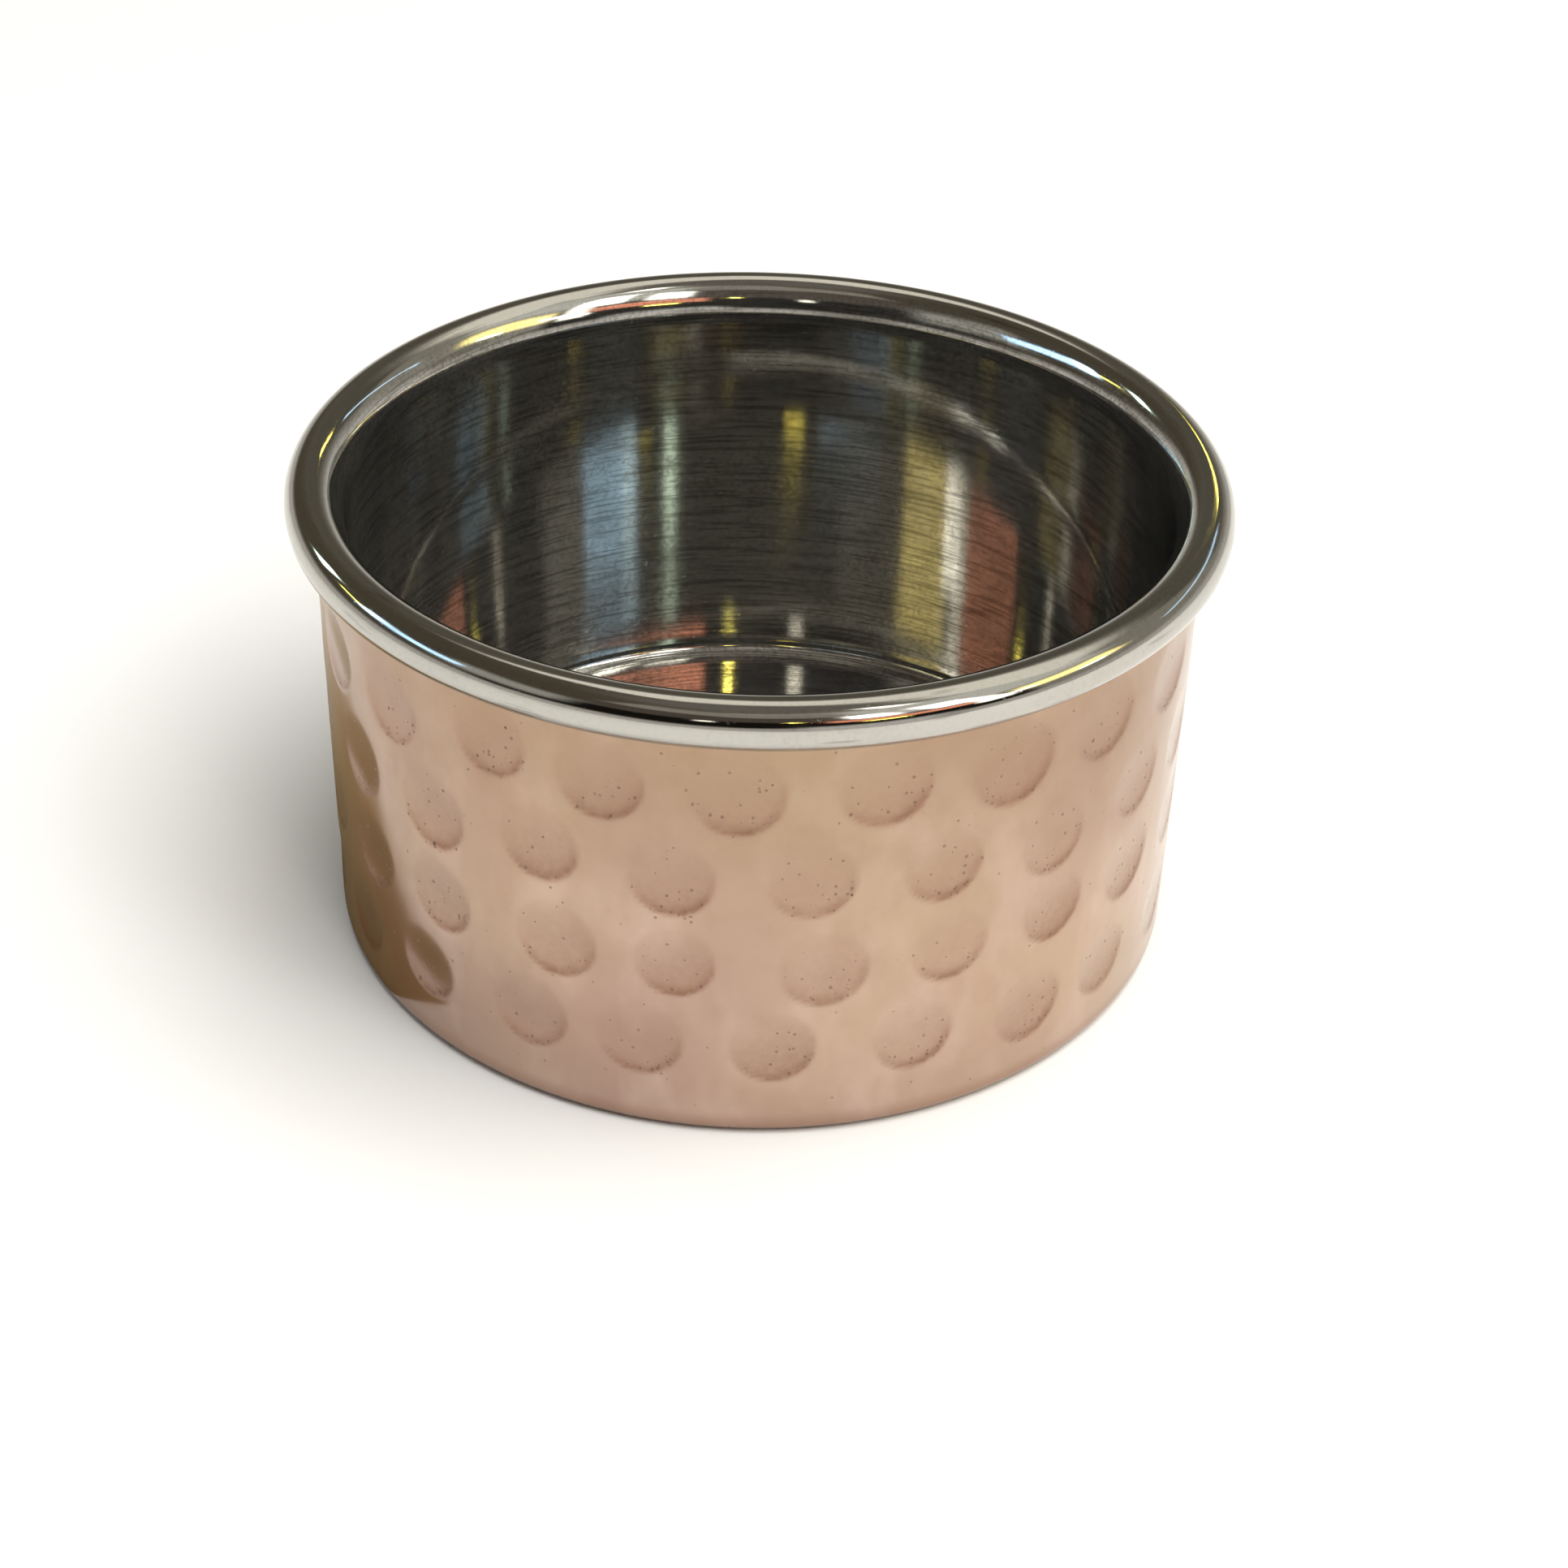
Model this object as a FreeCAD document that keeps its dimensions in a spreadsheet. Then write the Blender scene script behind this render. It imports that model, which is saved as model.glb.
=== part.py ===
import FreeCAD, Part
import math
import os

import Sketcher

# A small double-wall bowl: a polished steel liner whose mouth is rolled over into a round rim, and a
# hammered copper jacket whose top edge is held inside that roll. Millimetres, +Z up, with the origin
# at the centre of the base, on the surface the bowl stands on.

# Driving dimensions. Each one can be changed by itself.
SIZES = [
    ("rim_outer_radius", 42.5, "outside of the rolled rim"),
    ("bowl_height", 45.0, "base to the top of the rim"),
    ("steel_sheet", 0.4, "thickness of the liner"),
    ("copper_sheet", 0.4, "thickness of the jacket"),
    ("bead_radius", 2.2, "outer half of the rolled rim"),
    ("crest_radius", 2.4, "inner shoulder of the rolled rim"),
    ("flare_radius", 5.2, "sweep from the liner's wall out to the shoulder"),
    ("rim_overhang", 2.4, "how far the rim stands out past the jacket"),
    ("wall_gap", 2.0, "air between the two walls"),
    ("base_gap", 1.0, "air between the two floors"),
    ("liner_corner_radius", 1.2, "inside corner of the liner's floor"),
    ("jacket_corner_radius", 1.2, "outside corner of the jacket's base"),
    ("jacket_edge_clearance", 0.6, "jacket's top edge to the roll above it"),
    ("hammer_depth", 0.33, "depth of a hammer mark"),
    ("hammer_face_radius", 17.0, "dome of the hammer's face"),
    ("hammer_head_radius", 4.2, "half the width of the hammer's head"),
    ("hammer_marks", 22, "marks in each row"),
    ("top_row_drop", 9.0, "top of the bowl to the middle of the highest row"),
    ("bottom_row_height", 9.3, "base to the middle of the lowest row"),
]

# Turn of each row of hammer marks about the axis, highest row first, in degrees.
ROW_TURNS = [-1.0, 7.0, 8.0, 4.0]

# Where sketch constraints hold: the sketch's own axes, and the points of a line or arc.
ORIGIN = HORIZONTAL_AXIS = -1
VERTICAL_AXIS = -2
START, END, CENTRE = 1, 2, 3

document = FreeCAD.newDocument("hammered_bowl")


def make_sheet():
    sheet = document.addObject("Spreadsheet::Sheet", "sizes")
    for row, (alias, value, note) in enumerate(SIZES, start=1):
        sheet.set(f"A{row}", alias)
        sheet.set(f"B{row}", str(value))
        sheet.set(f"C{row}", note)
        sheet.setAlias(f"B{row}", alias)
    document.recompute()
    return sheet


sizes = make_sheet()


def size(alias):
    return float(sizes.get(alias))


def make_body(name):
    body = document.addObject("PartDesign::Body", name)
    document.recompute()
    return body


def origin_feature(body, role):
    return next(item for item in body.Origin.OriginFeatures if item.Role == role)


def upright_sketch(body, name):
    # A sketch whose X runs out from the bowl's axis and whose Y runs up along it.
    sketch = body.newObject("Sketcher::SketchObject", name)
    sketch.AttachmentSupport = [(origin_feature(body, "XZ_Plane"), "")]
    sketch.MapMode = "FlatFace"
    return sketch


def point(x, y):
    return FreeCAD.Vector(x, y, 0)


def add_line(sketch, start, end):
    return sketch.addGeometry(Part.LineSegment(point(*start), point(*end)), False)


def add_arc(sketch, centre, radius, first, last):
    # Angles in degrees, counter-clockwise from first to last.
    circle = Part.Circle(point(*centre), FreeCAD.Vector(0, 0, 1), radius)
    return sketch.addGeometry(Part.ArcOfCircle(circle, math.radians(first), math.radians(last)), False)


def join(sketch, *pairs):
    for first, first_end, second, second_end in pairs:
        sketch.addConstraint(Sketcher.Constraint("Coincident", first, first_end, second, second_end))


def blend(sketch, *pairs):
    # End to end and in the same direction.
    for first, first_end, second, second_end in pairs:
        sketch.addConstraint(Sketcher.Constraint("Tangent", first, first_end, second, second_end))


def level(sketch, *lines):
    for line in lines:
        sketch.addConstraint(Sketcher.Constraint("Horizontal", line))


def upright(sketch, *lines):
    for line in lines:
        sketch.addConstraint(Sketcher.Constraint("Vertical", line))


def on_axis(sketch, item, end):
    sketch.addConstraint(Sketcher.Constraint("PointOnObject", item, end, VERTICAL_AXIS))


def on_ground(sketch, item, end):
    sketch.addConstraint(Sketcher.Constraint("PointOnObject", item, end, HORIZONTAL_AXIS))


def bind(sketch, constraint, expression):
    index = sketch.addConstraint(constraint)
    sketch.setExpression(f"Constraints[{index}]", expression)


def bind_radius(sketch, arc, value, expression):
    bind(sketch, Sketcher.Constraint("Radius", arc, value), expression)


def bind_across(sketch, item, end, value, expression):
    bind(sketch, Sketcher.Constraint("DistanceX", ORIGIN, START, item, end, value), expression)


def bind_up(sketch, item, end, value, expression):
    bind(sketch, Sketcher.Constraint("DistanceY", ORIGIN, START, item, end, value), expression)


def revolve(body, sketch, name):
    turned = body.newObject("PartDesign::Revolution", name)
    turned.Profile = sketch
    turned.ReferenceAxis = (sketch, ["V_Axis"])
    turned.Angle = 360
    sketch.Visibility = False
    document.recompute()
    return turned


def make_steel_liner():
    # One band of sheet, turned about the axis: floor, corner, wall, flare, shoulder and bead, then
    # back along the hidden side, one sheet's thickness away.
    body = make_body("steel_liner")
    sketch = upright_sketch(body, "liner_profile")

    sheet = size("steel_sheet")
    bead = size("bead_radius")
    crest = size("crest_radius")
    flare = size("flare_radius")
    corner = size("liner_corner_radius")
    jacket = size("rim_outer_radius") - size("rim_overhang")
    wall = jacket - size("copper_sheet") - size("wall_gap") - sheet
    floor = size("copper_sheet") + size("base_gap") + sheet
    top = size("bowl_height")
    crest_x = size("rim_outer_radius") - bead
    flare_x = wall + flare
    # The flare touches the shoulder from inside, so their centres lie flare - crest apart.
    flare_angle = math.degrees(math.acos((flare_x - crest_x) / (flare - crest)))
    flare_z = top - crest - (flare - crest) * math.sin(math.radians(flare_angle))
    lip_angle = -math.degrees(math.acos((jacket - crest_x) / bead))
    hidden_lip_angle = -math.degrees(math.acos((jacket - crest_x) / (bead - sheet)))

    def side(offset):
        # The visible side has offset 0 and the hidden side one sheet.
        floor_line = add_line(sketch, (0, floor - offset), (wall - corner, floor - offset))
        corner_arc = add_arc(sketch, (wall - corner, floor + corner), corner + offset, -90, 0)
        wall_line = add_line(sketch, (wall + offset, floor + corner), (wall + offset, flare_z))
        flare_arc = add_arc(sketch, (flare_x, flare_z), flare - offset, 180 - flare_angle, 180)
        crest_arc = add_arc(sketch, (crest_x, top - crest), crest - offset, 90, 180 - flare_angle)
        last = hidden_lip_angle if offset else lip_angle
        bead_arc = add_arc(sketch, (crest_x, top - bead), bead - offset, last, 90)
        on_axis(sketch, floor_line, START)
        level(sketch, floor_line)
        upright(sketch, wall_line)
        blend(
            sketch,
            (floor_line, END, corner_arc, START),
            (corner_arc, END, wall_line, START),
            (wall_line, END, flare_arc, END),
            (flare_arc, START, crest_arc, END),
            (crest_arc, START, bead_arc, END),
        )
        return floor_line, corner_arc, wall_line, flare_arc, crest_arc, bead_arc

    shown = side(0)
    hidden = side(sheet)
    floor_line, corner_arc, wall_line, flare_arc, crest_arc, bead_arc = shown
    hidden_floor, hidden_corner, hidden_wall, hidden_flare, hidden_crest, hidden_bead = hidden

    middle = add_line(sketch, (0, floor - sheet), (0, floor))
    join(sketch, (middle, START, hidden_floor, START), (middle, END, floor_line, START))

    lip_z = top - bead + bead * math.sin(math.radians(lip_angle))
    hidden_lip_z = top - bead + (bead - sheet) * math.sin(math.radians(hidden_lip_angle))
    lip = add_line(sketch, (jacket, lip_z), (jacket, hidden_lip_z))
    upright(sketch, lip)
    join(sketch, (lip, START, bead_arc, START), (lip, END, hidden_bead, START))

    # One sheet thick all the way: the arcs of the two sides share their centres.
    join(
        sketch,
        (corner_arc, CENTRE, hidden_corner, CENTRE),
        (flare_arc, CENTRE, hidden_flare, CENTRE),
        (bead_arc, CENTRE, hidden_bead, CENTRE),
    )
    bind_radius(sketch, corner_arc, corner, "sizes.liner_corner_radius")
    bind_radius(sketch, flare_arc, flare, "sizes.flare_radius")
    bind_radius(sketch, crest_arc, crest, "sizes.crest_radius")
    bind_radius(sketch, bead_arc, bead, "sizes.bead_radius")
    bind_radius(sketch, hidden_bead, bead - sheet, "sizes.bead_radius - sizes.steel_sheet")
    bind_across(sketch, bead_arc, CENTRE, crest_x, "sizes.rim_outer_radius - sizes.bead_radius")
    bind_up(sketch, bead_arc, CENTRE, top - bead, "sizes.bowl_height - sizes.bead_radius")
    jacket_formula = "sizes.rim_outer_radius - sizes.rim_overhang"
    bind_across(sketch, lip, START, jacket, jacket_formula)
    wall_formula = f"{jacket_formula} - sizes.copper_sheet - sizes.wall_gap - sizes.steel_sheet"
    bind_across(sketch, wall_line, START, wall, wall_formula)
    floor_formula = "sizes.copper_sheet + sizes.base_gap + sizes.steel_sheet"
    bind_up(sketch, floor_line, START, floor, floor_formula)
    document.recompute()
    revolve(body, sketch, "liner_turned")
    return body


def make_form(name, inset):
    # A solid as large as the jacket's outside (no inset) or its inside (inset by the copper sheet),
    # punched with rows of hammer marks. The mark on the inside has the same centre and a radius one
    # sheet larger, so the jacket keeps its thickness under every mark.
    body = make_body(name)
    inset_formula = f" - {inset}" if inset else ""
    grown_formula = f" + {inset}" if inset else ""
    offset = size("copper_sheet") if inset else 0.0

    profile = upright_sketch(body, f"{name}_profile")
    wall = size("rim_outer_radius") - size("rim_overhang") - offset
    corner = size("jacket_corner_radius") - offset
    edge = size("bowl_height") - size("steel_sheet") - size("jacket_edge_clearance")
    top = edge + offset  # the inside form runs past the jacket's edge to leave it open
    base = add_line(profile, (0, offset), (wall - corner, offset))
    bend = add_arc(profile, (wall - corner, offset + corner), corner, -90, 0)
    side = add_line(profile, (wall, offset + corner), (wall, top))
    lid = add_line(profile, (wall, top), (0, top))
    middle = add_line(profile, (0, top), (0, offset))
    level(profile, base, lid)
    upright(profile, side)
    on_axis(profile, middle, START)
    on_axis(profile, middle, END)
    blend(profile, (base, END, bend, START), (bend, END, side, START))
    join(profile, (side, END, lid, START), (lid, END, middle, START), (middle, END, base, START))
    bind_radius(profile, bend, corner, f"sizes.jacket_corner_radius{inset_formula}")
    wall_formula = f"sizes.rim_outer_radius - sizes.rim_overhang{inset_formula}"
    bind_across(profile, side, START, wall, wall_formula)
    top_formula = "sizes.bowl_height - sizes.steel_sheet - sizes.jacket_edge_clearance"
    bind_up(profile, side, END, top, f"{top_formula}{grown_formula}")
    if inset:
        bind_up(profile, base, START, offset, inset)
    else:
        on_ground(profile, base, START)
    revolve(body, profile, f"{name}_turned")

    for row, turn in enumerate(ROW_TURNS):
        punch_row(body, row, turn, offset, grown_formula)
    return body


def punch_row(body, row, turn, offset, grown_formula):
    # The hammer's head is a rod that points at the axis and ends in a dome. It is turned about its own
    # centre line to cut one mark, which is then repeated round the wall.
    head_x = size("rim_outer_radius") - size("rim_overhang") - size("hammer_depth")
    dome = size("hammer_face_radius") + offset
    dome_x = head_x + size("hammer_face_radius")
    width = size("hammer_head_radius")
    share = row / (len(ROW_TURNS) - 1)  # 0 at the highest row, 1 at the lowest
    highest = size("bowl_height") - size("top_row_drop")
    height = highest - share * (highest - size("bottom_row_height"))
    half_angle = math.degrees(math.asin(width / dome))
    edge_x = dome_x - dome * math.cos(math.radians(half_angle))

    sketch = upright_sketch(body, f"{body.Name}_mark_{row + 1}")
    about_axis = FreeCAD.Rotation(FreeCAD.Vector(0, 1, 0), turn)
    sketch.AttachmentOffset = FreeCAD.Placement(FreeCAD.Vector(), about_axis)
    centre_line = add_line(sketch, (dome_x - dome, height), (dome_x, height))
    back = add_line(sketch, (dome_x, height), (dome_x, height + width))
    rod = add_line(sketch, (dome_x, height + width), (edge_x, height + width))
    face = add_arc(sketch, (dome_x, height), dome, 180 - half_angle, 180)
    level(sketch, centre_line, rod)
    upright(sketch, back)
    join(
        sketch,
        (centre_line, END, back, START),
        (back, END, rod, START),
        (rod, END, face, START),
        (face, END, centre_line, START),
        (face, CENTRE, back, START),
    )
    bind_radius(sketch, face, dome, f"sizes.hammer_face_radius{grown_formula}")
    head_formula = "sizes.rim_outer_radius - sizes.rim_overhang - sizes.hammer_depth"
    bind_across(sketch, face, CENTRE, dome_x, f"{head_formula} + sizes.hammer_face_radius")
    highest_formula = "sizes.bowl_height - sizes.top_row_drop"
    row_formula = f"{highest_formula} - {share} * ({highest_formula} - sizes.bottom_row_height)"
    bind_up(sketch, face, CENTRE, height, row_formula)
    bind_up(sketch, back, END, height + width, f"{row_formula} + sizes.hammer_head_radius")
    document.recompute()

    before = body.Shape.Volume
    mark = body.newObject("PartDesign::Groove", f"{body.Name}_struck_{row + 1}")
    mark.Profile = sketch
    mark.ReferenceAxis = (sketch, [f"Edge{centre_line + 1}"])
    mark.Angle = 360
    sketch.Visibility = False
    document.recompute()
    if not mark.Shape.Volume < before:
        raise RuntimeError(f"{mark.Name} cuts nothing")

    ring = body.newObject("PartDesign::PolarPattern", f"{body.Name}_row_{row + 1}")
    ring.Originals = [mark]
    ring.Axis = (origin_feature(body, "Z_Axis"), [""])
    ring.Angle = 360
    ring.setExpression("Occurrences", "sizes.hammer_marks")
    body.Tip = ring
    document.recompute()


def make_copper_jacket():
    # One sheet of copper: what lies between the outside form and the inside form.
    outside = make_form("jacket_outside", "")
    inside = make_form("jacket_inside", "sizes.copper_sheet")
    jacket = document.addObject("Part::Cut", "copper_jacket")
    jacket.Base = outside
    jacket.Tool = inside
    document.recompute()
    return jacket


def check(items):
    for item in document.Objects:
        if "Invalid" in item.State or "Error" in item.State:
            raise RuntimeError(f"{item.Name} failed: {item.State}")
    for item in items:
        if item.Shape.isNull() or not item.Shape.isValid():
            raise RuntimeError(f"{item.Label} has no valid shape")
        if len(item.Shape.Solids) != 1:
            raise RuntimeError(f"{item.Label} is {len(item.Shape.Solids)} solids, not 1")


def write(items):
    os.makedirs("parts", exist_ok=True)
    for item in items:
        item.Shape.exportStep(f"parts/{item.Label}.step")
        box = item.Shape.optimalBoundingBox()
        extent = f"{box.XLength:.2f} x {box.YLength:.2f} x {box.ZLength:.2f} mm"
        print(f"{item.Label}: {extent}, {item.Shape.Volume:.0f} mm3")


pieces = [make_steel_liner(), make_copper_jacket()]
for piece, label in zip(pieces, ["steel_liner", "copper_jacket"]):
    piece.Label = label
    piece.Placement = FreeCAD.Placement()
document.recompute()
check(pieces)
write(pieces)
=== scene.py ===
import math

import bpy
import numpy as np
from mathutils import Matrix, Vector


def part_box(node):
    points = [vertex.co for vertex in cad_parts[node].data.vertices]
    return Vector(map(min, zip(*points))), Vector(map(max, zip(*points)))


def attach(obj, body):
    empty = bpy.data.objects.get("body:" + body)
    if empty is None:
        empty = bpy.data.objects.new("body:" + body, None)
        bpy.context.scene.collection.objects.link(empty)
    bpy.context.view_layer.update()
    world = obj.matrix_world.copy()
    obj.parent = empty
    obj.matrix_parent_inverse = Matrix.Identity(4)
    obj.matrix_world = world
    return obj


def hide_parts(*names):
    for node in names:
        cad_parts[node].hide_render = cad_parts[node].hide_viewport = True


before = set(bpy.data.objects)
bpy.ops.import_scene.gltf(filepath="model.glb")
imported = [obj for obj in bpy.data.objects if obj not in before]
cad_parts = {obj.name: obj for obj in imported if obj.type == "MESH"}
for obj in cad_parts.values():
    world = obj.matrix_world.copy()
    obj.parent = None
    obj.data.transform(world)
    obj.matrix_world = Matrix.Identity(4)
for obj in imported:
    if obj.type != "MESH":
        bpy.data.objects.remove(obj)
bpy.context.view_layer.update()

mm = 0.001  # sizes below are in millimetres, the mesh is in metres


# shader maths written as plain expressions

class Sock:
    # one socket: + - * ** between sockets and numbers, and abs, add Math nodes

    def __init__(self, bench, socket):
        self.bench = bench
        self.socket = socket

    def math(self, operation, *values):
        return self.bench.math(operation, *values)

    def __add__(self, other):
        return self.math("ADD", self, other)

    def __radd__(self, other):
        return self.math("ADD", other, self)

    def __sub__(self, other):
        return self.math("SUBTRACT", self, other)

    def __rsub__(self, other):
        return self.math("SUBTRACT", other, self)

    def __mul__(self, other):
        return self.math("MULTIPLY", self, other)

    def __rmul__(self, other):
        return self.math("MULTIPLY", other, self)

    def __pow__(self, other):
        return self.math("POWER", self, other)

    def __rpow__(self, other):
        return self.math("POWER", other, self)

    def __abs__(self):
        return self.math("ABSOLUTE", self)


class Bench:
    # where one material's or the world's nodes are put together

    def __init__(self, tree):
        self.tree = tree
        tree.nodes.clear()

    def node(self, kind, settings=None, inputs=None, out=0):
        made = self.tree.nodes.new(kind)
        for name, value in (settings or {}).items():
            setattr(made, name, value)
        named = inputs if isinstance(inputs, dict) else dict(enumerate(inputs or []))
        for key, value in named.items():
            self.feed(made.inputs[key], value)
        return Sock(self, made.outputs[out]) if len(made.outputs) else made

    def math(self, operation, *values):
        return self.node("ShaderNodeMath", {"operation": operation}, list(values))

    def feed(self, socket, value):
        if isinstance(value, Sock):
            self.tree.links.new(value.socket, socket)
        elif value is not None:
            socket.default_value = value

    def mixColour(self, factor, first, second):
        # the RGBA pair of a Mix node is its 6th and 7th input, and its 3rd output
        settings = {"data_type": "RGBA", "clamp_factor": True}
        return self.node("ShaderNodeMix", settings, {0: factor, 6: first, 7: second}, out=2)

    def between(self, value, low, high):
        # value from low to high becomes 0 to 1, held at both ends
        return self.node("ShaderNodeMapRange", {"clamp": True}, [value, low, high, 0.0, 1.0])

    def ease(self, value, low, high):
        # 0 at low and 1 at high with soft ends; low may be the larger
        settings = {"interpolation_type": "SMOOTHSTEP"}
        return self.node("ShaderNodeMapRange", settings, [value, low, high, 0.0, 1.0])

    def parts(self, vector):
        # x, y and z of a vector
        return [self.node("ShaderNodeSeparateXYZ", {}, [vector], out=axis) for axis in range(3)]

    def join(self, x, y, z):
        return self.node("ShaderNodeCombineXYZ", {}, [x, y, z])

    def noise(self, vector, scale, detail=3.0, roughness=0.5):
        inputs = {"Vector": vector, "Scale": scale, "Detail": detail, "Roughness": roughness}
        return self.node("ShaderNodeTexNoise", {}, inputs)

    def attribute(self, name):
        return self.node("ShaderNodeAttribute", {"attribute_name": name}, out=2)

    def objectPoint(self):
        return self.node("ShaderNodeTexCoord", {}, out=3)

    def bump(self, height, depth, under=None):
        # depth in metres is how far a height of 1 stands out
        return self.node("ShaderNodeBump", {}, {
            "Height": height, "Distance": depth, "Strength": 1.0, "Normal": under})

    def shade(self, settings):
        shader = self.node("ShaderNodeBsdfPrincipled", {}, settings)
        self.node("ShaderNodeOutputMaterial", {}, {"Surface": shader})


def newMaterial(name):
    material = bpy.data.materials.new(name)
    material.use_nodes = True
    return material, Bench(material.node_tree)


# surfaces of revolution: a profile carried round the axis

def arcPoints(centre, radius, first, last, count):
    # a circle's arc: centre + radius * (cos, sin), angles in degrees
    angle = np.radians(np.linspace(first, last, count))
    return np.stack([centre[0] + radius * np.cos(angle), centre[1] + radius * np.sin(angle)], 1)


def linePoints(first, last, count):
    # evenly spaced points from first to last
    t = np.linspace(0.0, 1.0, count)[:, None]
    return np.array(first) * (1 - t) + np.array(last) * t


def chain(*stretches):
    # stretches end to end, each one's first point left out where it repeats the last
    return np.concatenate([stretches[0]] + [stretch[1:] for stretch in stretches[1:]])


def turnedMesh(name, profile, columns, dent=None, attributes=None):
    # a closed skin: radius and height from the profile, carried round the axis; the two ends of the
    # profile lie on the axis and each becomes one point. dent(angle, height, radius) moves the wall
    # inwards, and each attribute is a value at every point, worked out from the same three
    radius = profile[1:-1, 0][:, None]
    height = profile[1:-1, 1][:, None]
    angle = (np.arange(columns) * 2 * np.pi / columns)[None, :]
    inward = dent(angle, height, radius) if dent else 0.0
    r = radius - inward + 0 * angle
    grid = np.stack([r * np.sin(angle), -r * np.cos(angle), height + 0 * angle], 2).reshape(-1, 3)
    ends = np.array([[0, 0, profile[0, 1]], [0, 0, profile[-1, 1]]])
    points = np.concatenate([grid, ends]) * mm
    rows = len(profile) - 2
    row, column = np.meshgrid(np.arange(rows - 1), np.arange(columns), indexing="ij")
    here = row * columns + column
    side = row * columns + (column + 1) % columns
    quads = np.stack([here, side, side + columns, here + columns], 2).reshape(-1, 4)
    column = np.arange(columns)
    following = (column + 1) % columns
    last = (rows - 1) * columns
    firstFan = np.stack([following, column, np.full(columns, len(grid))], 1)
    lastFan = np.stack([last + column, last + following, np.full(columns, len(grid) + 1)], 1)
    mesh = bpy.data.meshes.new(name)
    mesh.from_pydata(points.tolist(), [], quads.tolist() + firstFan.tolist() + lastFan.tolist())
    mesh.polygons.foreach_set("use_smooth", np.ones(len(mesh.polygons), dtype=bool))
    for label, values in (attributes or {}).items():
        field = np.concatenate([(values(angle, height, radius) + 0 * r).ravel(), [0.0, 0.0]])
        mesh.attributes.new(label, "FLOAT", "POINT").data.foreach_set("value", field)
    mesh.update()
    piece = bpy.data.objects.new(name, mesh)
    bpy.context.scene.collection.objects.link(piece)
    return piece


# the steel liner: one cup of sheet whose mouth flares, rolls over and tucks in against the jacket

linerBox = np.array(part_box("steel_liner")) / mm
jacketBox = np.array(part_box("copper_jacket")) / mm

liner = {
    "rim": np.abs(linerBox[:, :2]).min(),  # outside of the rolled rim
    "top": linerBox[1, 2],
    "under": linerBox[0, 2],  # underside of the liner's floor
    "sheet": 0.4,
    "bead": 2.2,  # outer half of the roll
    "crest": 2.4,  # inner shoulder of the roll
    "flare": 5.2,  # sweep from the wall out to the shoulder
    "wall": 37.3,
    "corner": 1.2,
    "lipGap": 0.02,  # between the roll's lip and the jacket
    "waver": 0.03,  # how far the spun wall strays from a true circle
    "waverFrom": 4,  # heights between which it does, and how softly that starts and ends
    "waverTo": 36,
    "waverEase": 8,
    "waverReach": 0.1,  # it stops where the radius is this much over the wall's
    "waves": ((3, 14, 1.0, 0.0), (5, -9, 0.6, 1.0)),  # each one's turns, lean, share and start
    "columns": 400,
    "points": {"floor": 24, "corner": 12, "wall": 40, "flare": 14, "crest": 20, "bead": 44},
    "hiddenShare": 0.35,  # of those points, on the hidden side
}


def linerSide(offset, lipRadius, share):
    # floor line, corner arc, wall line, then three arcs: flare, shoulder and bead, offset by a sheet;
    # share of the full number of points
    s = liner
    floor = s["under"] + s["sheet"]
    crestX = s["rim"] - s["bead"]
    flareX = s["wall"] + s["flare"]
    reach = s["flare"] - s["crest"]
    flareAngle = math.degrees(math.acos((flareX - crestX) / reach))
    flareZ = s["top"] - s["crest"] - reach * math.sin(math.radians(flareAngle))
    lipAngle = -math.degrees(math.acos((lipRadius - crestX) / (s["bead"] - offset)))
    cornerCentre = (s["wall"] - s["corner"], floor + s["corner"])
    wallRadius = s["wall"] + offset
    shoulder = (crestX, s["top"] - s["crest"])
    roll = (crestX, s["top"] - s["bead"])
    count = {name: max(3, round(full * share)) for name, full in s["points"].items()}
    return chain(
        linePoints((0, floor - offset), (cornerCentre[0], floor - offset), count["floor"]),
        arcPoints(cornerCentre, s["corner"] + offset, -90, 0, count["corner"]),
        linePoints((wallRadius, cornerCentre[1]), (wallRadius, flareZ), count["wall"]),
        arcPoints((flareX, flareZ), s["flare"] - offset, 180, 180 - flareAngle, count["flare"]),
        arcPoints(shoulder, s["crest"] - offset, 180 - flareAngle, 90, count["crest"]),
        arcPoints(roll, s["bead"] - offset, 90, lipAngle, count["bead"]),
    )


def linerWaver(angle, height, radius):
    # waver * the sum over the waves of share * (1 + sine of (turns * angle + height / lean + start)),
    # only on the inside of the wall and never outwards
    s = liner
    rise = np.clip((height - s["waverFrom"]) / s["waverEase"], 0, 1)
    fall = np.clip((s["waverTo"] - height) / s["waverEase"], 0, 1)
    wave = sum(share * (1 + np.sin(turns * angle + height / lean + start))
               for turns, lean, share, start in s["waves"])
    return s["waver"] * wave * rise * fall * (radius < s["wall"] + s["waverReach"])


def buildLiner():
    # the shown side out to the lip, then back along the hidden side with fewer points
    lipRadius = jacketBox[1, 0] + liner["lipGap"]
    shown = linerSide(0.0, lipRadius, 1.0)
    hidden = linerSide(liner["sheet"], lipRadius, liner["hiddenShare"])[::-1]
    profile = np.concatenate([shown, hidden])
    return turnedMesh("linerSkin", profile[::-1], liner["columns"], linerWaver)


# the copper jacket: a cup of sheet with rows of hammer marks, its edge up inside the liner's roll

jacket = {
    "radius": np.abs(jacketBox[:, :2]).min(),
    "edge": jacketBox[1, 2],
    "sheet": 0.4,
    "corner": 1.2,
    "columns": 640,
    "points": {"base": 14, "corner": 8, "wall": 112, "inside": 8, "insideCorner": 4, "floor": 4},
    "markEdge": 0.1,  # marks are gone this far in from the radius
    "markEase": 0.05,  # and whole this much further out
}

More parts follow.
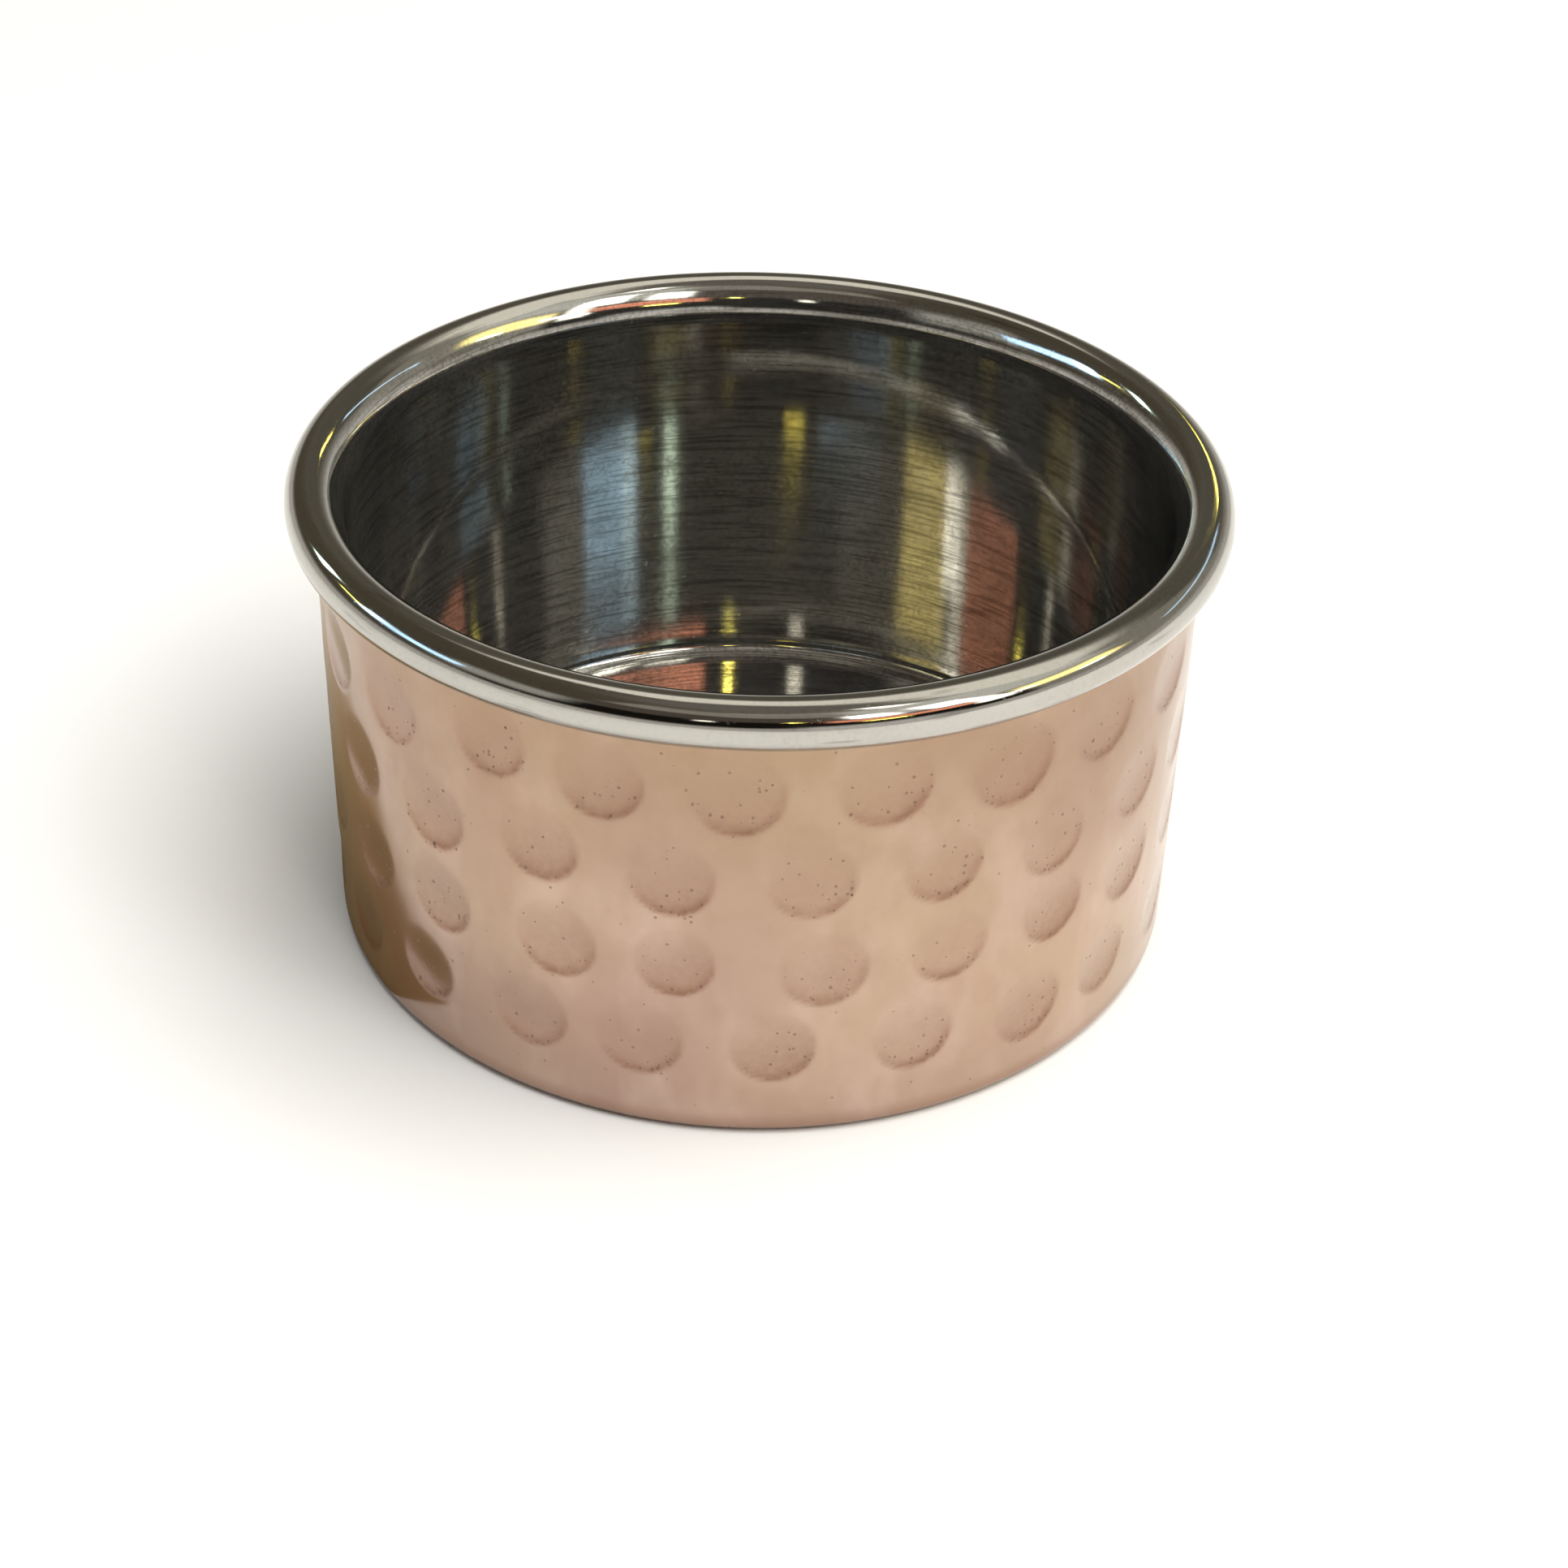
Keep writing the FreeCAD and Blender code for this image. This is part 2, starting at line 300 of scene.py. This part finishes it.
hammer = {
    "rows": (36.4, 27.6, 18.7, 9.6),  # heights of the rows
    "turns": (-1.0, 7.0, 8.0, 4.0),  # each row's turn about the axis, degrees
    "marks": 22,
    "dip": 2.6,  # how far a row sinks and rises on its way round
    "depth": 0.30,
    "lean": 0.55,  # how much deeper a mark is at its lower edge
    "width": 7.7,  # across one mark
    "depthSpread": 0.15,  # how unlike each other the marks are, as shares
    "widthSpread": 0.08,
    "soft": 0.10,  # how softly the dish meets the wall
    "fadeShare": 1.35,  # where the last of it is gone, in half widths from the middle
    "fadeOver": 0.3,
    "wander": 0.8,  # how far a mark strays from its row
    "seed": 11,
}

# painted shade in the marks, from place to place; lengths are in half widths from its middle
markShade = {
    "least": 0.15,  # at its upper left, against 1 at its lower right
    "middle": 0.5,  # how far it has risen at the mark's middle
    "downwards": 0.55,
    "rightwards": 0.2,
    "edge": 1.05,
    "edgeEase": 0.12,
    "lip": 0.93,  # the painted shade line along the lower edge
    "lipInwards": 0.17,
    "lipOutwards": 0.035,
    "lipRightwards": 0.35,
}


def hammerMarks():
    # centres as turn and height: rows of even steps that sink by dip * (sine of the turn) squared,
    # with a little stray drawn once for every mark
    draw = np.random.default_rng(hammer["seed"])
    step = 2 * np.pi / hammer["marks"]
    shape = (len(hammer["rows"]), hammer["marks"])
    stray = draw.uniform(-1, 1, (5, *shape))
    turn = np.radians(hammer["turns"])[:, None] + np.arange(hammer["marks"])[None, :] * step
    height = np.array(hammer["rows"])[:, None] - hammer["dip"] * np.sin(turn) ** 2
    return {
        "turn": (turn + stray[0] * hammer["wander"] / jacket["radius"]).ravel(),
        "height": (height + stray[1] * hammer["wander"]).ravel(),
        "depth": (hammer["depth"] * (1 - hammer["depthSpread"] * (1 - stray[2]))).ravel(),
        "width": (hammer["width"] * (1 + hammer["widthSpread"] * stray[3])).ravel(),
        "tone": stray[4].ravel(),
    }


marks = hammerMarks()


def nearestMark(angle, height):
    # for every point: across and up from the nearest mark's centre as shares of its half width, and
    # that mark's number
    shape = np.broadcast(angle, height).shape
    best = np.full(shape, np.inf)
    across, up = np.zeros(shape), np.zeros(shape)
    number = np.zeros(shape, dtype=int)
    for index, (turn, middle, wide) in enumerate(zip(marks["turn"], marks["height"], marks["width"])):
        aside = (np.mod(angle - turn + np.pi, 2 * np.pi) - np.pi) * jacket["radius"] / (wide / 2)
        above = (height - middle) / (wide / 2)
        away = np.hypot(aside, above)
        closer = away < best
        best = np.where(closer, away, best)
        across = np.where(closer, aside, across)
        up = np.where(closer, above, up)
        number = np.where(closer, index, number)
    return best, across, up, number


def onWall(radius):
    # 1 on the outside of the wall, 0 on the base and on the hidden side
    return np.clip((radius - (jacket["radius"] - jacket["markEdge"])) / jacket["markEase"], 0, 1)


def markDish(angle, height, radius):
    # a leaning dish: depth * (1 - share^2) * (1 - lean * up), eased to nothing at its edge
    share, across, up, number = nearestMark(angle, height)
    flat = 1 - share ** 2
    dish = 0.5 * (flat + np.sqrt(flat ** 2 + hammer["soft"] ** 2))
    fade = np.clip((hammer["fadeShare"] - share) / hammer["fadeOver"], 0, 1)
    return marks["depth"][number] * dish * (1 - hammer["lean"] * up) * fade * onWall(radius)


def markShadeMask(angle, height, radius):
    # painted shade inside each mark, darkest at its lower right
    # 0 outside a mark; inside it rises evenly from least at the upper left to 1 at the lower right
    s = markShade
    share, across, up, number = nearestMark(angle, height)
    lower = np.clip(s["middle"] - s["downwards"] * up + s["rightwards"] * across, 0, 1)
    inside = np.clip((s["edge"] - share) / s["edgeEase"], 0, 1)
    return inside * (s["least"] + (1 - s["least"]) * lower) * onWall(radius)


def lipShadeMask(angle, height, radius):
    # painted shade along the lower edge of each mark
    # 1 along the lower edge of a mark and a little up its right side, 0 elsewhere: a bell curve in
    # the share, wider inwards than outwards, times how far the point is down and to the right
    s = markShade
    share, across, up, number = nearestMark(angle, height)
    spread = np.where(share < s["lip"], s["lipInwards"], s["lipOutwards"])
    edge = np.exp(-((share - s["lip"]) / spread) ** 2)
    side = np.clip(s["lipRightwards"] * across - up, 0, 1)
    return edge * side * onWall(radius)


def markTone(angle, height, radius):
    # -1 to 1, one value for each mark, 0 between the marks
    number = nearestMark(angle, height)[3]
    return marks["tone"][number] * markShadeMask(angle, height, radius)


def buildJacket():
    # up the outside from the middle of the base, over the cut edge, and down the inside
    s = jacket
    count = s["points"]
    inner = s["radius"] - s["sheet"]
    flat = s["radius"] - s["corner"]
    low = s["corner"]
    profile = chain(
        linePoints((0, 0), (flat, 0), count["base"]),
        arcPoints((flat, low), s["corner"], -90, 0, count["corner"]),
        linePoints((s["radius"], low), (s["radius"], s["edge"]), count["wall"]),
        linePoints((s["radius"], s["edge"]), (inner, s["edge"]), 2),
        linePoints((inner, s["edge"]), (inner, low), count["inside"]),
        arcPoints((flat, low), s["corner"] - s["sheet"], 0, -90, count["insideCorner"]),
        linePoints((flat, s["sheet"]), (0, s["sheet"]), count["floor"]),
    )
    # mark and lip are painted shade masks, also used to crowd the pits; tone varies each mark at
    # random
    fields = {"mark": markShadeMask, "lip": lipShadeMask, "tone": markTone}
    return turnedMesh("jacketSkin", profile, s["columns"], markDish, fields)


# materials

steel = {
    "light": (0.63, 0.62, 0.59, 1),
    "dull": (0.49, 0.475, 0.44, 1),
    "line": (0.20, 0.19, 0.16, 1),  # the deeper polishing lines
    "roughness": 0.04,
    "lineLength": 55,  # polishing lines: slow round the bowl, fast up the wall
    "lineFineness": 2600,
    "lineDepth": 0.00000035,  # metres
    "rippleLength": 80,  # coarser lines left where the rim was rolled
    "rippleFineness": 1100,
    "rippleDepth": 0.000007,
    "peelScale": 1500,
    "peelDepth": 0.0000016,
    "brushLength": 150,  # broken brush lines inside
    "brushFineness": 3400,
    "brushShare": 0.55,
    "brushEase": (0.50, 0.62),  # each pattern's noise values where it starts and is full
    "scratchShare": 0.65,
    "scratchEase": (0.62, 0.72),
    "smudgeScale": 70,
    "smudgeEase": (0.42, 0.68),
    "dustScale": 2600,
    "dustEase": (0.68, 0.76),
    "stainScale": 900,
    "stainShare": 0.45,
    "stainEase": (0.56, 0.72),
    "speckScale": 2400,
    "speckShare": 0.55,
    "speckEase": (0.51, 0.60),
    "lineRough": 0.05,  # what each adds to the roughness
    "smudgeRough": 0.035,
    "dustRough": 0.12,
    "scratchRough": 0.12,
    "film": 0.05,  # dull film left inside the bowl
    "rimFrom": 0.0376,  # metres from the axis where the rim's finish starts and is full
    "rimTo": 0.0390,
    "rimDull": 0.85,
}


def axisRadius(bench):
    # distance from the axis: the root of x squared plus y squared
    x, y = bench.parts(bench.objectPoint())[:2]
    return (x * x + y * y) ** 0.5


def spunPoint(bench, length, fineness):
    # slow round the axis and fast up the wall or across the floor, so noise on it becomes turned lines
    x, y, z = bench.parts(bench.objectPoint())
    return bench.join(x * length, y * length, (z + axisRadius(bench)) * fineness)


def polishedSteel():
    material, bench = newMaterial("polishedSteel")
    point = bench.objectPoint()
    onRim = bench.ease(axisRadius(bench), steel["rimFrom"], steel["rimTo"])
    inside = 1.0 - onRim
    lines = bench.noise(spunPoint(bench, steel["lineLength"], steel["lineFineness"]), 1.0, 3.0)
    ripples = bench.noise(spunPoint(bench, steel["rippleLength"], steel["rippleFineness"]), 1.0, 2.0)
    brush = bench.noise(spunPoint(bench, steel["brushLength"], steel["brushFineness"]), 1.0, 2.0)
    peel = bench.noise(point, steel["peelScale"], 2.0)
    smudge = bench.between(bench.noise(point, steel["smudgeScale"], 4.0, 0.6), *steel["smudgeEase"])
    dust = bench.between(bench.noise(point, steel["dustScale"], 1.0), *steel["dustEase"])
    scratched = bench.between(ripples, *steel["scratchEase"]) * onRim
    brushed = bench.between(brush, *steel["brushEase"]) * inside
    # stains and specks follow the smudges and are fewer on the rim
    stained = bench.between(bench.noise(point, steel["stainScale"], 4.0, 0.7), *steel["stainEase"])
    stained = stained * (0.35 + smudge * 0.65) * (1.0 - onRim * 0.5)
    speckled = bench.between(bench.noise(point, steel["speckScale"], 2.0), *steel["speckEase"])
    speckled = speckled * (0.5 + smudge * 0.5) * (1.0 - onRim * 0.8)
    worn = brushed * steel["brushShare"] + scratched * steel["scratchShare"]
    colour = bench.mixColour(smudge, steel["light"], steel["dull"])
    colour = bench.mixColour(onRim * steel["rimDull"], colour, steel["dull"])
    colour = bench.mixColour(worn, colour, steel["line"])
    colour = bench.mixColour(stained * steel["stainShare"], colour, steel["line"])
    colour = bench.mixColour(speckled * steel["speckShare"], colour, steel["line"])
    uneven = lines * steel["lineRough"] + smudge * steel["smudgeRough"]
    uneven = uneven + dust * steel["dustRough"] + scratched * steel["scratchRough"]
    bumped = bench.bump(peel, steel["peelDepth"])
    bumped = bench.bump(lines, steel["lineDepth"], bumped)
    bumped = bench.bump(ripples * onRim, steel["rippleDepth"], bumped)
    bench.shade({
        "Base Color": colour,
        "Metallic": 1.0 - inside * (steel["film"] * (0.6 + smudge * 0.8)),
        "Roughness": steel["roughness"] + uneven,
        "Normal": bumped,
    })
    return material


copper = {
    "pink": (0.445, 0.30, 0.245, 1),
    "sand": (0.495, 0.355, 0.255, 1),
    "ridgeHighlight": (0.60, 0.445, 0.37, 1),  # painted highlight on the ridges between the marks
    "upperShade": (0.33, 0.225, 0.13, 1),  # painted shade, browner towards the rim
    "dentShade": (0.33, 0.20, 0.145, 1),  # painted shade inside the marks; also random darker clouds
    "tarnishAndShade": (0.25, 0.13, 0.085, 1),  # painted shade at the marks' lower edges, foot and brim; base rings too
    "pit": (0.11, 0.06, 0.04, 1),
    "roughness": 0.12,
    "pitScale": 850,
    "pitDepth": 0.00004,  # metres
    "grainDepth": 0.0000025,
    "patchScale": 38,  # pink and sand patches
    "patchEase": (0.36, 0.64),  # each pattern's noise values where it starts and is full
    "cloudScale": 260,
    "cloudEase": (0.45, 0.85),
    "lipShadeEase": (0.28, 0.56),
    "fineScale": 1500,
    "clumpScale": 420,  # where pits gather
    "clumpEase": (0.40, 0.66),
    "unevenScale": 5200,
    "lineLength": 40,  # turned lines
    "lineFineness": 1500,
    "ringEase": (0.42, 0.66),
    "ridgeLightScale": 130,
    "ridgeLightShare": 0.75,
    "ridgeLightEase": (0.44, 0.70),
    "upperShadeFrom": 0.014,  # heights where the painted shade towards the rim starts and is full, metres
    "upperShadeTo": 0.041,
    "upperShadeShare": 0.55,
    "foot": (0.0026, 0.0004),  # heights in metres where each painted shade edge starts and is full
    "brim": (0.0416, 0.0428),
    "base": (0.0006, 0.0001),
    "edgeShadeShare": 0.6,
    "cloudRough": 0.10,  # what each adds to the roughness
    "lipRough": 0.10,
    "spotRough": 0.35,
    "ringRough": 0.08,
}


def pits(bench, point, crowd, scale, size):
    # one spot in some of the cells: 1 at its middle, 0 outside; crowd from 0 to 1 keeps more of them
    cells = {"Vector": point, "Scale": scale, "Randomness": 1.0}
    away = bench.node("ShaderNodeTexVoronoi", {}, cells)
    draw = bench.parts(bench.node("ShaderNodeTexVoronoi", {}, cells, out=1))
    radius = size * (0.35 + draw[1])
    spot = bench.ease(away, radius, radius * 0.45)
    return spot * bench.ease(draw[0], 1.0 - crowd, 1.02 - crowd)


def hammeredCopper():
    material, bench = newMaterial("hammeredCopper")
    point = bench.objectPoint()
    x, y, z = bench.parts(point)
    mark, lip, tone = (bench.attribute(name) for name in ("mark", "lip", "tone"))
    patches = bench.between(bench.noise(point, copper["patchScale"], 2.0), *copper["patchEase"])
    cloud = bench.noise(point, copper["cloudScale"], 4.0, 0.62)
    fine = bench.noise(point, copper["fineScale"], 3.0, 0.6)
    lines = bench.noise(spunPoint(bench, copper["lineLength"], copper["lineFineness"]), 1.0, 3.0)
    # pits and specks gather in the marks, most of all along their lower edges
    clumps = bench.between(bench.noise(point, copper["clumpScale"], 3.0), *copper["clumpEase"])
    crowd = (0.03 + mark * 0.36 + lip * 0.62) * (0.25 + clumps)
    uneven = bench.noise(point, copper["unevenScale"], 2.0) * 0.8 + 0.45
    holes = pits(bench, point, crowd * 0.38, copper["pitScale"], 0.15) * uneven
    specks = pits(bench, point, crowd, copper["pitScale"] * 2.4, 0.34) * 0.55 * uneven
    spots = bench.math("MAXIMUM", holes, specks)
    # painted highlight on the metal between the marks, in patches taller than they are wide
    ridgeLight = bench.noise(bench.join(x, y, z * 0.45), copper["ridgeLightScale"], 3.0, 0.55)
    ridgeLight = bench.between(ridgeLight, *copper["ridgeLightEase"]) * (1.0 - mark)
    # painted shade: darker and browner towards the rim
    upper = bench.ease(z, copper["upperShadeFrom"], copper["upperShadeTo"]) * copper["upperShadeShare"]
    # painted shade at the foot and in a band under the rolled rim
    edges = bench.math("MAXIMUM", bench.ease(z, *copper["foot"]), bench.ease(z, *copper["brim"]))
    # painted shade inside the marks, darkest at their lower right, varied by each mark's tone
    dentShade = mark * (0.60 + tone * 0.35) * (0.25 + fine * 1.3)
    clouded = bench.between(cloud, *copper["cloudEase"]) * 0.25
    # painted shade along the marks' lower edges
    lipShade = lip * (bench.between(cloud, *copper["lipShadeEase"]) * 0.7 + fine * 0.35)
    rings = bench.ease(z, *copper["base"]) * bench.between(lines, *copper["ringEase"])
    colour = bench.mixColour(patches, copper["pink"], copper["sand"])
    colour = bench.mixColour(ridgeLight * copper["ridgeLightShare"], colour, copper["ridgeHighlight"])
    colour = bench.mixColour(upper * (0.6 + cloud * 0.8), colour, copper["upperShade"])
    colour = bench.mixColour(dentShade, colour, copper["dentShade"])
    colour = bench.mixColour(clouded, colour, copper["dentShade"])
    colour = bench.mixColour(lipShade, colour, copper["tarnishAndShade"])
    colour = bench.mixColour(rings * (0.35 + cloud * 0.5), colour, copper["tarnishAndShade"])
    colour = bench.mixColour(edges * copper["edgeShadeShare"], colour, copper["tarnishAndShade"])
    colour = bench.mixColour(spots, colour, copper["pit"])
    rough = cloud * copper["cloudRough"] + lip * copper["lipRough"]
    rough = rough + spots * copper["spotRough"] + rings * copper["ringRough"]
    height = bench.bump(cloud * 0.6 + lines * 0.4, copper["grainDepth"])
    bench.shade({
        "Base Color": colour,
        "Metallic": 1.0 - spots * 0.6,
        "Roughness": copper["roughness"] + rough,
        "Normal": bench.bump(1.0 - spots, copper["pitDepth"], height),
    })
    return material


def place(piece, material, body, node):
    piece.data.materials.clear()
    piece.data.materials.append(material)
    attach(piece, body)
    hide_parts(node)


linerSkin = buildLiner()
place(linerSkin, polishedSteel(), "root", "steel_liner")
print("liner made:", len(linerSkin.data.polygons), "faces")

jacketSkin = buildJacket()
place(jacketSkin, hammeredCopper(), "root", "copper_jacket")
print("jacket made:", len(jacketSkin.data.polygons), "faces")


# studio: pale floor, the room that the polished steel mirrors, soft lights and the camera

studio = {
    "floor": 5.0,  # metres across
    "floorSides": 96,
    "floorHeight": -0.05,  # millimetres, just clear of the bowl's base
    "floorRoughness": 0.6,
    "floorColour": (0.86, 0.86, 0.86, 1),
    "backdrop": (0.88, 0.88, 0.875, 1),
    "horizon": (0.66, 0.64, 0.61, 1),
    "deep": (0.05, 0.048, 0.042, 1),  # what is left after many reflections
    "leftWall": (0.10, 0.085, 0.06, 1),  # the room's dim side
    "rightWall": (0.34, 0.32, 0.27, 1),
    "ceiling": (0.20, 0.185, 0.16, 1),
    "tableFar": (0.62, 0.59, 0.55, 1),  # just above the floor's edge
    "sideEase": (-0.5, 0.7),  # how far right the dim side ends and the light one is full, -1 to 1
    "ceilingEase": (68.0, 82.0),  # heights in degrees
    "tableEase": (14.0, 3.0),
    "horizonEase": (-3.0, 18.0),
    "deepEase": (3.3, 5.6),  # numbers of reflections between which the room grows dim
    "deepShare": 0.85,
}

# lies on the floor left of the bowl, and only polished metal sees it
darkCard = {
    "outline": (
        (-33, -30), (-47, -21), (-60, -9), (-67, 0), (-70, 14), (-68, 45), (-60, 90), (-38, 95)),
    "height": 0.3,
    "colour": (0.39, 0.295, 0.16, 1),
    "roughness": 0.8,
    "fade": (80, 5),  # gone at the first depth and whole at the second
}

overhead = {
    "place": (0.34, -0.18, 1.1),  # metres
    "size": 1.1,
    "watts": 17.0,
    "colour": (1, 0.985, 0.97),
}

# what stands round the bowl, in degrees: the turn is 0 at the front and 90 to the right, height and
# tall are upwards, and soft is how wide the blurred edge is
panels = (
    {"turn": 0, "wide": 130, "height": 26, "tall": 30, "soft": 6, "colour": (0.012, 0.010, 0.008)},
    {"turn": 47, "wide": 114, "height": 53, "tall": 28, "soft": 10, "colour": (0.80, 0.79, 0.72)},
    {"turn": 150, "wide": 110, "height": 60, "tall": 24, "soft": 9, "colour": (1.15, 1.10, 0.97)},
    {"turn": -8, "wide": 74, "height": 59, "tall": 16, "soft": 9, "colour": (0.36, 0.33, 0.285)},
    {"turn": -8, "wide": 74, "height": 43, "tall": 18, "soft": 6, "colour": (0.11, 0.09, 0.075)},
    {"turn": 28, "wide": 34, "height": 5, "tall": 18, "soft": 8, "colour": (0.72, 0.70, 0.66)},
    {"turn": 162, "wide": 56, "height": 29, "tall": 24, "soft": 10, "colour": (0.13, 0.12, 0.095)},
    {"turn": -62, "wide": 34, "height": 29, "tall": 20, "soft": 12, "colour": (0.48, 0.465, 0.42)},
    {"turn": -90, "wide": 34, "height": 26.5, "tall": 8, "soft": 3, "colour": (1.55, 2.4, 3.4)},
    {"turn": -102, "wide": 7, "height": 26.5, "tall": 8, "soft": 4, "colour": (2.9, 4.0, 4.9)},
    {"turn": -127, "wide": 6, "height": 26.5, "tall": 8, "soft": 3, "colour": (6.0, 7.8, 6.9)},
    {"turn": 35, "wide": 36, "height": 30.5, "tall": 7, "soft": 3, "colour": (1.45, 0.56, 0.34)},
    {"turn": 80, "wide": 30, "height": 30, "tall": 12, "soft": 6, "colour": (2.8, 2.35, 0.92)},
    {"turn": 57, "wide": 8, "height": 31, "tall": 20, "soft": 4, "colour": (3.0, 2.9, 2.6)},
    {"turn": 63, "wide": 10, "height": 28.2, "tall": 2.6, "soft": 1.2, "colour": (10.0, 10.0, 9.6)},
    {"turn": 130, "wide": 38, "height": 24.7, "tall": 1.8, "soft": 0.8, "colour": (1.25, 1.75, 2.25)},
    {"turn": 84, "wide": 8, "height": 24.7, "tall": 1.8, "soft": 0.8, "colour": (7.0, 9.0, 7.6)},
    {"turn": 56, "wide": 9, "height": 24.7, "tall": 1.8, "soft": 0.8, "colour": (4.5, 4.5, 4.1)},
    {"turn": 30, "wide": 12, "height": 43, "tall": 12, "soft": 5, "colour": (5.0, 5.0, 4.7)},
    {"turn": -12, "wide": 4, "height": 30, "tall": 5, "soft": 2, "colour": (2.3, 2.2, 1.9)},
    {"turn": 52, "wide": 14, "height": 45, "tall": 15, "soft": 5, "colour": (7.0, 7.0, 6.6)},
    {"turn": 60, "wide": 16, "height": 70, "tall": 7, "soft": 5, "colour": (4.0, 4.0, 3.7)},
    {"turn": 163, "wide": 10, "height": 25.0, "tall": 0.9, "soft": 0.5, "colour": (15.0, 12.5, 2.2)},
    {"turn": -111, "wide": 10, "height": 25.2, "tall": 0.9, "soft": 0.5, "colour": (14.0, 12.0, 2.2)},
    {"turn": 30, "wide": 10, "height": 25.0, "tall": 0.9, "soft": 0.5, "colour": (14.0, 12.0, 2.2)},
    {"turn": 9, "wide": 2.5, "height": 33, "tall": 1.4, "soft": 0.8, "colour": (15.0, 13.0, 2.6)},
)


def buildRoom():
    # every panel is a soft rectangle in turn and height over the dim room
    world = bpy.data.worlds.new("room")
    world.use_nodes = True
    room = Bench(world.node_tree)
    x, y, z = room.parts(room.node("ShaderNodeTexCoord"))
    turn = room.math("ARCTAN2", x, 0.0 - y) * (180 / math.pi)
    height = room.math("ARCSINE", z) * (180 / math.pi)
    rightward = room.ease(x, *studio["sideEase"])
    colour = room.mixColour(rightward, studio["leftWall"], studio["rightWall"])
    colour = room.mixColour(room.ease(height, *studio["ceilingEase"]), colour, studio["ceiling"])
    colour = room.mixColour(room.ease(height, *studio["tableEase"]), colour, studio["tableFar"])
    for panel in panels:
        off = abs(room.math("WRAP", turn - panel["turn"], 180.0, -180.0))
        above = abs(height - panel["height"])
        soft = panel["soft"] / 2
        across = room.ease(off, panel["wide"] / 2 + soft, panel["wide"] / 2 - soft)
        up = room.ease(above, panel["tall"] / 2 + soft, panel["tall"] / 2 - soft)
        colour = room.mixColour(across * up, colour, (*panel["colour"], 1))
    bounces = room.node("ShaderNodeLightPath", {}, {}, out="Ray Depth")
    dimmed = room.ease(bounces, *studio["deepEase"]) * studio["deepShare"]
    colour = room.mixColour(dimmed, colour, studio["deep"])
    seen = room.node("ShaderNodeLightPath")  # 1 on the camera's own rays, which see a plain backdrop
    lifted = room.ease(height, *studio["horizonEase"])
    plain = room.mixColour(lifted, studio["horizon"], studio["backdrop"])
    colour = room.mixColour(seen, colour, plain)
    background = room.node("ShaderNodeBackground", {}, {"Color": colour, "Strength": 1.0})
    room.node("ShaderNodeOutputWorld", {}, {"Surface": background})
    bpy.context.scene.world = world


def flatSheet(name, outline, height, colour, roughness, fade=None):
    # a level sheet with the given outline, in millimetres; fade gives the depths, front to back, at
    # which it is gone and whole
    mesh = bpy.data.meshes.new(name)
    points = [(x * mm, y * mm, height * mm) for x, y in outline]
    mesh.from_pydata(points, [], [tuple(range(len(points)))])
    sheet = bpy.data.objects.new(name, mesh)
    bpy.context.scene.collection.objects.link(sheet)
    material, bench = newMaterial(name)
    settings = {"Base Color": colour, "Roughness": roughness}
    if fade:
        depth = bench.parts(bench.objectPoint())[1]
        settings["Alpha"] = bench.ease(depth, fade[0] * mm, fade[1] * mm)
    bench.shade(settings)
    mesh.materials.append(material)
    return sheet


def buildFloor():
    reach = studio["floor"] / 2 / mm
    turns = np.linspace(0, 2 * math.pi, studio["floorSides"], endpoint=False)
    outline = [(reach * math.cos(turn), reach * math.sin(turn)) for turn in turns]
    flatSheet("floor", outline, studio["floorHeight"], studio["floorColour"], studio["floorRoughness"])


def buildCard():
    s = darkCard
    card = flatSheet("darkCard", s["outline"], s["height"], s["colour"], s["roughness"], s["fade"])
    card.visible_camera = False
    card.visible_diffuse = False
    card.visible_shadow = False
    card.visible_transmission = False


camera = {
    "distance": 238.5,  # from the middle of the rim, millimetres
    "elevation": 27.9,  # degrees
    "aim": (2.9, 0.0, 9.4),
    "roll": 1.8,
    "lens": 60.3,
    "sensor": 36.0,
    "clipStart": 0.005,  # metres
}


def buildCamera():
    # stands off from the rim's middle by the distance and elevation, looks at the aim, then rolls
    tilt = math.radians(camera["elevation"])
    middle = Vector((0, 0, liner["top"] - liner["bead"]))
    spot = middle + camera["distance"] * Vector((0, -math.cos(tilt), math.sin(tilt)))
    look = (Vector(camera["aim"]) - spot).to_track_quat("-Z", "Y").to_matrix()
    roll = Matrix.Rotation(math.radians(camera["roll"]), 3, "Z")
    lens = bpy.data.cameras.new("camera")
    lens.lens = camera["lens"]
    lens.sensor_width = camera["sensor"]
    lens.clip_start = camera["clipStart"]
    holder = bpy.data.objects.new("camera", lens)
    holder.matrix_world = Matrix.Translation(spot * mm) @ (look @ roll).to_4x4()
    bpy.context.scene.collection.objects.link(holder)
    bpy.context.scene.camera = holder


def softLight(name, settings):
    # a square soft box that looks at the bowl and doesn't show in the metal
    data = bpy.data.lights.new(name, "AREA")
    data.shape = "SQUARE"
    data.size = settings["size"]
    data.energy = settings["watts"]
    data.color = settings["colour"]
    lamp = bpy.data.objects.new(name, data)
    turn = (-Vector(settings["place"])).to_track_quat("-Z", "Y")
    lamp.matrix_world = Matrix.Translation(settings["place"]) @ turn.to_matrix().to_4x4()
    lamp.visible_glossy = False
    bpy.context.scene.collection.objects.link(lamp)


buildFloor()
buildCard()
buildCamera()
buildRoom()
softLight("overhead", overhead)
bpy.context.scene.view_settings.view_transform = "Standard"
print("studio ready")

bpy.context.view_layer.update()
